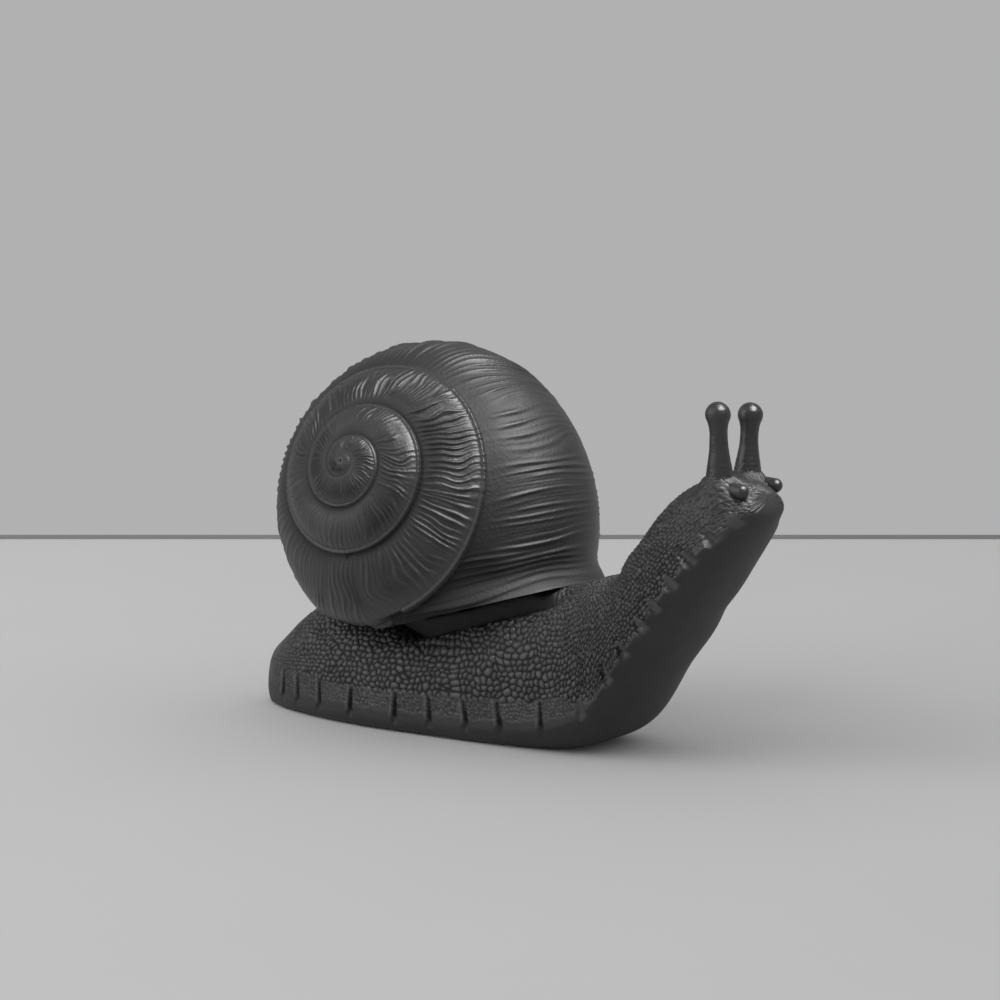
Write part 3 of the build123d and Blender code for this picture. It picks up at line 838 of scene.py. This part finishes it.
def sample_body(tree):
    """Points of the body's surface on rings round it, with their columns set out from the sole's edge."""
    distances, rings = body_rings()
    sole = np.linspace(0.0, 1.0, sole_columns, endpoint=False)
    flank = np.linspace(0.0, 1.0, flank_columns + 1)
    count = 2 * (sole_columns + flank_columns)
    points = np.empty((len(rings), count, 3))
    for number, (x, z, half_width, lift, depth, lean) in enumerate(rings):
        slope = radians(lean)
        up = Vector((-sin(slope), 0.0, cos(slope)))
        middle = depth * centre_share
        centre = Vector((x, 0.0, z)) + up * middle
        corner = np.arctan2(half_width, middle - lift)
        half = np.concatenate([sole * corner, corner + flank * (pi - corner)])
        turns = np.concatenate([half, -half[-2:0:-1]])
        for step, turn in enumerate(turns):
            direction = Vector((0.0, sin(turn), 0.0)) - up * cos(turn)
            hit, _, _, _ = tree.ray_cast(centre + direction * ray_length, -direction, ray_length)
            points[number, step] = hit if hit is not None else centre
    return distances, points


def flank_heights(points):
    """Distance over the surface from the sole's edge up each flank."""
    rows, columns = points.shape[:2]
    half = columns // 2
    steps = np.linalg.norm(np.diff(points, axis=1), axis=2)
    closing = np.linalg.norm(points[:, 0] - points[:, -1], axis=1)[:, None]
    runs = []
    for parts in ([steps[:, :half]], [closing, steps[:, :half:-1]]):
        run = np.cumsum(np.concatenate([np.zeros((rows, 1))] + parts, axis=1), axis=1)
        runs.append(run - run[:, sole_columns:sole_columns + 1])
    return smoothed(np.concatenate([runs[0], runs[1][:, half - 1:0:-1]], axis=1), height_smoothing)


def body_relief(distances, points):
    """Scales, granules and smooth zones of the body, in millimetres, and their tone for the paint, which also
    carries painted shade under the shell and painted highlights on the floors of the neck notches.
    """
    columns = points.shape[1]
    height = flank_heights(points)
    side = np.ones(columns)
    side[columns // 2 + 1:] = -1.0
    along = np.repeat(distances[:, None], columns, axis=1)
    row_height = np.interp(distances, row_height_places, row_heights)
    run = np.cumsum(ring_step / (scale_length_share * row_height))
    u = np.repeat(run[:, None], columns, axis=1) + far_side_shift * (side[None, :] < 0)
    v = height / row_height[:, None]
    wave_u = u + 0.5 * noise(u * 0.35, v * 0.35, 41)
    wave_v = v + 0.5 * noise(u * 0.3, v * 0.3, 42)
    border, own = cells(wave_u, wave_v, 51, scale_jitter)
    scales = smooth_step(0.03, 0.34, border) * (0.62 + 0.38 * own) + 0.25 * border - 1.0
    fine_u, fine_v = wave_u * granules_per_scale[0] + 9.0, wave_v * granules_per_scale[1]
    border, own = cells(fine_u, fine_v, 52, granule_jitter)
    granules = granule_depth * (smooth_step(0.02, 0.4, border) * (0.6 + 0.4 * own) - 1.0)
    on_neck = smooth_step(*neck_places, along)
    low, high = [edges[0] * (1.0 - on_neck) + edges[1] * on_neck for edges in (granule_edges, scale_edges)]
    tail = 1.0 - smooth_step(*tail_places, along)
    face = smooth_step(*face_places, along)
    scaly = smooth_step(high - 0.8, high + 1.0, height + 0.8 * noise(u * 0.8, v * 0.2, 44))
    grainy = smooth_step(low - 0.5, low + 0.9, height + 0.6 * noise(u * 0.9, v * 0.2, 45))
    coarse = scaly * (1.0 - 0.75 * tail) * (1.0 - 0.7 * face)
    depth = scale_depth * (0.78 + 0.22 * row_height[:, None] / max(row_heights))
    relief = coarse * depth * scales + (grainy * (1.0 - coarse) + 0.4 * coarse * on_neck) * granules
    relief += 0.05 * noise(u * 0.4, v * 0.4, 46) * (0.3 + 0.7 * grainy)
    cuts, notches = slits(along, height, side[None, :])
    relief = relief * (1.0 - 0.9 * notches) + cuts
    x, y, z = points[..., 0], np.abs(points[..., 1]), points[..., 2]
    in_gap = smooth_step(-0.4, 0.4, z - seat_level(x) + gap_height) * between(*gap_places, x)
    in_gap *= 1.0 - smooth_step(0.5, 1.5, y - seat_ridge_half_width)
    relief = relief * (1.0 - in_gap)
    # the tone is darkened under the shell as painted shade, and raised on the neck notch floors as painted
    # highlight
    return relief, relief - bare_tone * (1.0 - grainy) + notch_floor_highlight * notches - gap_painted_shade * in_gap


def slits(along, height, side):
    """Knife-like cuts down the notches of the foot, and where those on the neck have bare floors."""
    whole = foot_rear + body_end()
    relief = np.zeros(along.shape)
    notches = np.zeros(along.shape)
    for number, share in enumerate(notch_place_shares):
        lean = 0.12 * sin(5.0 * number) + 0.04 * side
        offset = along - (share * whole - foot_rear) - lean * (height - 5.0)
        if share < first_neck_notch_share:
            window = between(*slit_heights, height)
            relief -= slit_depth * window * np.exp(-(offset / slit_half_width) ** 2)
            edge = np.exp(-((offset + slit_edge_offset) / slit_edge_half_width) ** 2)
            relief += slit_edge_height * window * edge
        else:
            reach = bare_half_width - 0.2 * np.clip(height, 0.0, 6.0)
            floor = between(*bare_heights, height) * np.exp(-(offset / reach) ** 4)
            notches = np.maximum(notches, floor)
    return relief, notches


def closed_ends(points, relief, tone):
    """Adds rings that close the blunt tail and the chin, and rounds both ends."""
    turned = np.linspace(0.0, pi / 2, cap_rings + 1)[1:, None, None]
    for end, bulge in ((0, tail_bulge), (-1, chin_bulge)):
        centre = points[end].mean(axis=0)
        cap = centre + (points[end] - centre) * np.cos(turned) + np.array(bulge) * np.sin(turned)
        extras = [cap] + [np.repeat(table[end][None], cap_rings, axis=0) for table in (relief, tone)]
        points, relief, tone = [
            np.concatenate([extra[::-1], table] if end == 0 else [table, extra])
            for table, extra in zip((points, relief, tone), extras)]
    number = np.arange(len(points))
    at_chin = 1.0 - smooth_step(*chin_rows, len(points) - number)
    at_tail = 1.0 - smooth_step(*tail_rows, number)
    weight = np.repeat((0.9 * at_chin + 0.6 * at_tail)[:, None], points.shape[1], axis=1)
    reach = np.linalg.norm(points - points.mean(axis=1, keepdims=True), axis=2).mean(axis=1)
    in_front = number > len(points) / 2
    fade = np.where(in_front, smooth_step(*chin_fade, reach), smooth_step(*tail_fade, reach))[:, None]
    for _ in range(end_rounds):
        points = relaxed(points, weight, end_passes)
        points[0] = points[1].mean(axis=0)
        points[-1] = points[-2].mean(axis=0)
    return points, relief * fade, tone


def ring_normals(points):
    """Outward unit normals of a grid that closes on itself along its columns."""
    wide = np.concatenate([points[:, -2:], points, points[:, :2]], axis=1)
    normals = grid_normals(wide)[:, 2:-2]
    inward = np.mean(np.sum(normals * (points - points.mean(axis=1, keepdims=True)), axis=2)) < 0
    return -normals if inward else normals


def face_point(behind_chin, over_chin, y):
    """Point of the head given from the chin, a little under the skin."""
    x, z = sole_path(body_end())
    return np.array((x - behind_chin, y, z + over_chin - root_overlap))


def stalk_axes():
    """Foot and direction of each eyestalk, right then left."""
    splay = radians(stalk_splay_angle)
    return [(face_point(stalk_behind_chin, stalk_over_chin, side * stalk_y),
             np.array((0.0, side * sin(splay), cos(splay)))) for side in (-1, 1)]


def feeler_axes():
    """Root and direction of each feeler, right then left."""
    droop = radians(feeler_droop_angle)
    splay = radians(feeler_splay_angle)
    return [(face_point(feeler_behind_chin, feeler_over_chin, side * feeler_y),
             np.array((cos(droop) * cos(splay), side * cos(droop) * sin(splay), -sin(droop))))
            for side in (-1, 1)]


def from_axis(points, foot, axis):
    """Distance along an axis from its foot, and away from it."""
    offset = points - foot
    along = np.sum(offset * axis, axis=2)
    return along, np.linalg.norm(offset - along[..., None] * axis, axis=2)


def relaxed(points, weight, passes):
    """Points drawn towards the middle of their neighbours, as far as their weight allows."""
    rows = np.where(weight.max(axis=1) > 0.0)[0]
    low = max(rows.min() - 2, 0)
    high = min(rows.max() + 3, len(points))
    part = points[low:high].copy()
    share = weight[low:high, :, None]
    for _ in range(passes):
        padded = np.concatenate([part[:1], part, part[-1:]])
        middle = (padded[:-2] + padded[2:] + np.roll(part, 1, axis=1) + np.roll(part, -1, axis=1)) / 4.0
        part = part + share * (middle - part)
    points[low:high] = part
    return points


def healed(points, distances):
    """Body without the seats of the eyestalks and feelers, and with its creases softened."""
    sockets = np.zeros(points.shape[:2])
    for axes, width, depth in ((stalk_axes(), *stalk_socket), (feeler_axes(), *feeler_socket)):
        for foot, axis in axes:
            along, away = from_axis(points, foot, axis)
            sockets = np.maximum(sockets, (away < width) * (along > -depth))
    points = relaxed(points, sockets.astype(float), socket_passes)
    columns = np.arange(points.shape[1])
    from_edge = np.minimum(np.abs(columns - sole_columns), np.abs(points.shape[1] - columns - sole_columns))
    free = smooth_step(*free_columns, from_edge)[None, :]
    face = smooth_step(*smooth_face_places, distances)[:, None]
    snout = smooth_step(*snout_places, distances)[:, None]
    points = relaxed(points, softening * np.maximum(face * free, snout), face_passes)
    x, y, z = points[..., 0], points[..., 1], points[..., 2]
    corner = (between(*corner_places, x) * smooth_step(*corner_heights, z)
              * (np.abs(y) > seat_ridge_half_width + 0.5))
    points = relaxed(points, softening * corner, corner_passes)
    nape = between(*nape_places, points[..., 0]) * smooth_step(*nape_heights, points[..., 2])
    points = relaxed(points, softening * nape, nape_passes)
    return relaxed(points, np.full(points.shape[:2], 0.35), 1)


def skirted(points):
    """Body raised into low cones that meet the feet of the eyestalks."""
    for foot, axis in stalk_axes():
        along, away = from_axis(points, foot, axis)
        cone = skirt_height - (away - skirt_radius) * skirt_slope
        gap = cone - along
        lift = 0.5 * (gap + np.sqrt(gap ** 2 + skirt_blend ** 2))
        near = (1.0 - smooth_step(*skirt_fade, away)) * (along > -skirt_depth)
        points = points + (lift * near)[..., None] * axis
    return points


def build_body(material):
    """The foot, neck and head with their scales."""
    distances, points = sample_body(search_tree(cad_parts["body_casting"].data))
    points = healed(points, distances)
    relief, tone = body_relief(distances, points)
    points, relief, tone = closed_ends(points, relief, tone)
    points = skirted(points)
    normals = ring_normals(points)
    soft = np.stack([smoothed(normals[..., axis], normal_smoothing) for axis in range(3)], axis=-1)
    points = points + soft * relief[..., None]
    points[..., 2] = np.maximum(points[..., 2], sole_level)
    piece = grid_object("body_skin", points, tone, closed=True)
    finish_piece(piece, "body_casting", material)


def turned_piece(name, node, foot, axis, heights, columns, relief_of, material):
    """Round piece sampled from its solid by rays towards its axis, with its own relief."""
    tree = search_tree(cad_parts[node].data)
    across = np.cross(axis, (1.0, 0.0, 0.0))
    across /= np.linalg.norm(across)
    beside = np.cross(axis, across)
    angles = np.linspace(0.0, 2 * pi, columns, endpoint=False)
    points = np.empty((len(heights), columns, 3))
    for number, height in enumerate(heights):
        middle = foot + axis * height
        for step, angle in enumerate(angles):
            direction = (across * cos(angle) + beside * sin(angle)) * round_piece_reach
            start = Vector(middle + direction)
            hit, _, _, _ = tree.ray_cast(start, Vector(-direction), round_piece_reach)
            points[number, step] = hit if hit is not None else middle
    relief = relief_of(*np.meshgrid(heights, angles, indexing="ij"))
    piece = grid_object(name, points + ring_normals(points) * relief[..., None], relief, closed=True)
    finish_piece(piece, node, material)


def stalk_relief(height, angle):
    """Granules on the flared foot that fade up the stem, over a faint unevenness."""
    around = angle / (2 * pi) * granules_round_stalk
    border, own = cells(around, height / 1.25, 61, 0.8)
    granules = smooth_step(0.02, 0.4, border) * (0.6 + 0.4 * own) - 1.0
    fade = 1.0 - smooth_step(1.5, 6.5, height)
    uneven = 0.05 * noise(around * 0.4, height * 0.3, 62) * smooth_step(1.0, 6.0, height)
    flare = stalk_flare * (1.0 - smooth_step(0.0, stalk_flare_height, height)) ** 1.5
    rings = 0.03 * noise(around * 0.2, height * 1.6, 63)
    return 0.16 * fade * granules + uneven + flare + rings - 0.05


def feeler_relief(height, angle):
    """Granules round the root that fade along the feeler."""
    around = angle / (2 * pi) * granules_round_feeler
    border, _ = cells(around, height / 1.2, 64, 0.8)
    granules = smooth_step(0.02, 0.4, border) - 1.0
    fade = 1.0 - smooth_step(0.5, 3.0, height)
    return 0.12 * fade * granules + 0.04 * noise(around * 0.5, height * 0.6, 65) - 0.04


def rounded_heights(start, top, step, tip, tip_steps):
    """Even heights up a round piece, drawn together over its tip."""
    over_tip = top - tip * np.cos(np.linspace(0, pi / 2, tip_steps))
    return np.minimum(np.concatenate([np.arange(start, top - tip, step), over_tip]), top - tip_gap)


def build_stalks(material):
    """Both eyestalks, the left one a little shorter."""
    for (foot, axis), side, short in zip(stalk_axes(), ("right", "left"), (0.0, left_stalk_shortfall)):
        heights = rounded_heights(0.05, stalk_height - short, stalk_ring_step, stalk_tip_radius, 16)
        node = side + "_eyestalk"
        turned_piece(node + "_skin", node, foot, axis, heights, stalk_columns, stalk_relief, material)


def build_feelers(material):
    """Both feelers."""
    heights = rounded_heights(-0.2, feeler_length, feeler_ring_step, feeler_radius, 20)
    for (root, axis), side in zip(feeler_axes(), ("right", "left")):
        node = side + "_feeler"
        turned_piece(node + "_skin", node, root, axis, heights, feeler_columns, feeler_relief, material)


def assign_cad_materials(steel, felt):
    """Gives their materials to the solids that no visual piece replaces."""
    for name in ("shell_screws", "shell_screw_washers", "eyestalk_cores", "felt_sheet"):
        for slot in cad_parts[name].material_slots:
            slot.material = felt if name == "felt_sheet" else steel


def build_stage():
    """Floor that ends at the foot of the backdrop, and the thin dark joint along its edge."""
    right, _, back = view_axes()
    away = -back.xy.normalized().to_3d()
    target = Vector(camera_target) * MM
    foot = Vector((target.x, target.y, floor_level * MM)) + away * wall_distance * MM
    size = stage_size * MM / 2
    joint = Vector((0.0, 0.0, wall_joint_height * MM))
    for name, grey, span in (("floor", floor_grey, -away * size), ("joint", joint_grey, joint)):
        left_end, right_end = foot - right * size, foot + right * size
        corners = (left_end, right_end, right_end + span, left_end + span)
        mesh = bpy.data.meshes.new("stage_" + name)
        mesh.from_pydata([tuple(corner) for corner in corners], [], [(0, 1, 2, 3)])
        plane = new_object("stage_" + name, mesh)
        mesh.materials.append(stage_material("stage_" + name, grey))


def view_axes():
    """Directions to the camera's right, up and back."""
    azimuth = radians(camera_azimuth)
    elevation = radians(camera_elevation)
    right = Vector((cos(azimuth), sin(azimuth), 0.0))
    back = Vector((sin(azimuth) * cos(elevation), -cos(azimuth) * cos(elevation), sin(elevation)))
    return right, back.cross(right), back


def build_camera():
    """Camera that looks at its target from the photograph's side."""
    right, up, back = view_axes()
    data = bpy.data.cameras.new("camera")
    data.sensor_width = sensor_width
    data.lens = focal_pixels / image_pixels * sensor_width
    data.clip_start = nearest_seen * MM
    data.clip_end = farthest_seen * MM
    camera = new_object("camera", data)
    place_at = (Vector(camera_target) + back * camera_distance) * MM
    camera.matrix_world = Matrix.Translation(place_at) @ Matrix((right, up, back)).transposed().to_4x4()
    bpy.context.scene.camera = camera


def area_light(name, direction, size, power):
    """Soft round light in a direction given to the target's right, towards the camera and up."""
    right, up, back = view_axes()
    towards = (right * direction[0] + back * direction[1] + up * direction[2]).normalized()
    data = bpy.data.lights.new(name, "AREA")
    data.shape = "DISK"
    data.size = size * MM
    data.energy = power
    lamp = new_object(name, data)
    lamp.location = (Vector(camera_target) + towards * light_distance) * MM
    lamp.rotation_euler = towards.to_track_quat("Z", "Y").to_euler()
    return lamp


def build_light():
    """Key light for the gloss only, a faint fill, and a world that looks darker than it shines."""
    key = area_light("key_light", key_direction, key_size, key_power)
    key.visible_diffuse = False
    area_light("fill_light", fill_direction, fill_size, fill_power)
    world = bpy.data.worlds.new("world")
    world.use_nodes = True
    tree = world.node_tree
    path = tree.nodes.new("ShaderNodeLightPath")
    seen = tree.nodes.new("ShaderNodeMath")
    seen.operation = "MAXIMUM"
    tree.links.new(path.outputs["Is Camera Ray"], seen.inputs[0])
    tree.links.new(path.outputs["Is Glossy Ray"], seen.inputs[1])
    shade = map_range(tree, seen.outputs["Value"], world_grey, backdrop_grey)
    tree.links.new(shade, tree.nodes["Background"].inputs["Color"])
    bpy.context.scene.world = world
    bpy.context.scene.view_settings.view_transform = "Standard"


def main():
    """Builds the whole scene."""
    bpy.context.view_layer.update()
    materials = {name: grey_material(name) for name in paints}
    materials["steel"].node_tree.nodes["Principled BSDF"].inputs["Metallic"].default_value = 1.0
    build_shell(materials["shell_paint"])
    build_body(materials["body_paint"])
    build_stalks(materials["stalk_paint"])
    build_feelers(materials["stalk_paint"])
    assign_cad_materials(materials["steel"], materials["felt"])
    build_stage()
    build_camera()
    build_light()


main()
